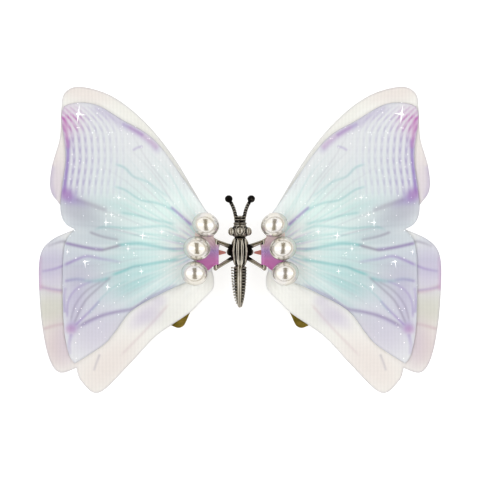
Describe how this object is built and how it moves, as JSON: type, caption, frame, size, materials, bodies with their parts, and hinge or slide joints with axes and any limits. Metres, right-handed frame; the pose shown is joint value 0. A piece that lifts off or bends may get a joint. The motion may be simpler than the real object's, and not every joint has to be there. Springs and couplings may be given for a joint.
{
  "type": "butterfly hair clip",
  "caption": "Butterfly hair clip: printed organza wings with pearls, hinged by ribbon to a cast body, over sprung alligator clips.",
  "frame": {"origin": "under the middle of the wings' outline, in the plane of the lower jaws' undersides", "axes": "+X to the right wing, +Y to the head, +Z out of the wings' upper face"},
  "size_m": [0.082, 0.0624, 0.0128],
  "materials": {
    "antique_silver": "cast zinc alloy, antique silver plated and blackened in the recesses",
    "printed_organza": "sheer organza, heat printed in aqua, lilac and magenta, with glitter",
    "pale_organza": "sheer organza, printed very pale",
    "satin_ribbon": "magenta and violet satin",
    "pearl": "imitation pearl, pearlescent lacquer",
    "thread": "clear white sewing thread",
    "felt": "white felt",
    "gold_steel": "pressed steel, gold plated",
    "spring_wire": "drawn spring wire"
  },
  "bodies": {
    "body": {"body_casting": "antique_silver"},
    "left_wing": {"left_wing_front": "printed_organza", "left_wing_back": "pale_organza", "left_hinge_ribbon": "satin_ribbon", "left_pearl_top": "pearl", "left_pearl_middle": "pearl", "left_pearl_bottom": "pearl", "left_sewing_thread": "thread", "left_felt_pad": "felt", "left_clip_upper_jaw": "gold_steel", "left_clip_pin": "gold_steel", "left_clip_spring": "spring_wire"},
    "left_clip_lever": {"left_clip_lower_jaw": "gold_steel"},
    "right_wing": {"right_wing_front": "printed_organza", "right_wing_back": "pale_organza", "right_hinge_ribbon": "satin_ribbon", "right_pearl_top": "pearl", "right_pearl_middle": "pearl", "right_pearl_bottom": "pearl", "right_sewing_thread": "thread", "right_felt_pad": "felt", "right_clip_upper_jaw": "gold_steel", "right_clip_pin": "gold_steel", "right_clip_spring": "spring_wire"},
    "right_clip_lever": {"right_clip_lower_jaw": "gold_steel"}
  },
  "joints": [
    {"name": "left_wing_flap", "type": "hinge", "parent": "body", "child": "left_wing", "pos_m": [-0.005, -0.00305, 0.0065], "axis": [0, 1, 0], "range_deg": [-12, 45]},
    {"name": "left_clip_open", "type": "hinge", "parent": "left_wing", "child": "left_clip_lever", "pos_m": [-0.00935, -0.00545, 0.0024], "axis": [0.9135, -0.4067, 0], "range_deg": [0, 24], "stiffness_Nm_per_rad": 0.006, "springref_deg": -28.65, "deforming": ["left_clip_spring"]},
    {"name": "right_wing_flap", "type": "hinge", "parent": "body", "child": "right_wing", "pos_m": [0.005, -0.00305, 0.0065], "axis": [0, -1, 0], "range_deg": [-12, 45]},
    {"name": "right_clip_open", "type": "hinge", "parent": "right_wing", "child": "right_clip_lever", "pos_m": [0.00935, -0.00545, 0.0024], "axis": [0.9135, 0.4067, 0], "range_deg": [0, 24], "stiffness_Nm_per_rad": 0.006, "springref_deg": -28.65, "deforming": ["right_clip_spring"]}
  ]
}
